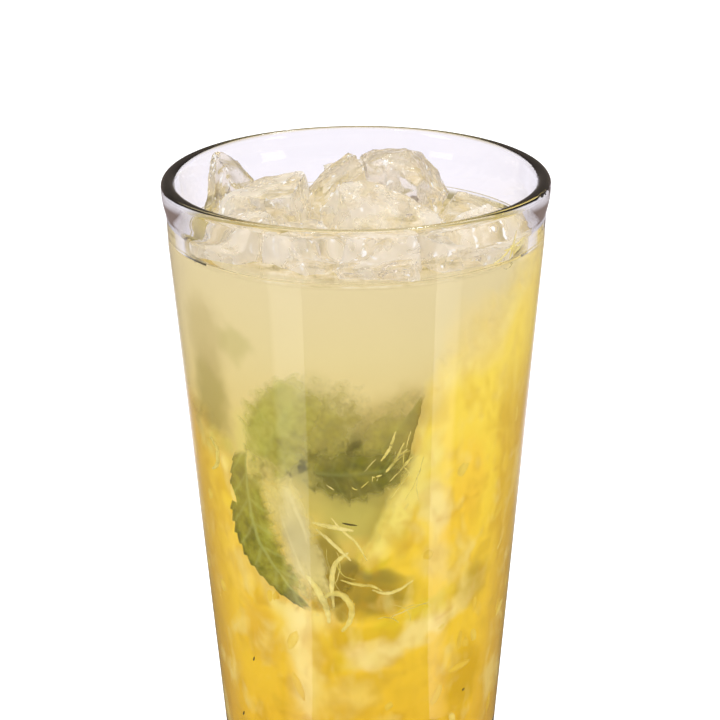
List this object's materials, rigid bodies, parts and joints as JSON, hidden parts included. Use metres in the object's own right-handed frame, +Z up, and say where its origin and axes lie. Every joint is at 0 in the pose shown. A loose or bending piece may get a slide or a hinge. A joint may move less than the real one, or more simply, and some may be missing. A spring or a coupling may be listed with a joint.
{
  "type": "caipirinha",
  "caption": "Tall tapered bar glass filled with a cloudy pale yellow pineapple and mint drink, with clear broken ice heaped above its surface.",
  "frame": {"origin": "middle of the glass's foot, on the surface that it stands on", "axes": "+Z up through the middle of the rim, +Y away from the side that the picture shows, +X to the right of that side"},
  "size_m": [0.088, 0.088, 0.1514],
  "materials": {
    "clear_glass": "polished",
    "drink": "gloss",
    "ice": "gloss"
  },
  "bodies": {
    "root": {"drink": "drink", "glass": "clear_glass", "ice_back_left": "ice", "ice_back_right": "ice", "ice_back_slope": "ice", "ice_front_left": "ice", "ice_front_middle": "ice", "ice_front_right": "ice", "ice_left_block": "ice", "ice_left_front": "ice", "ice_mound_front": "ice", "ice_peak_left": "ice", "ice_peak_right": "ice", "ice_right_slope": "ice", "ice_right_wall": "ice", "ice_shard": "ice"}
  },
  "joints": []
}
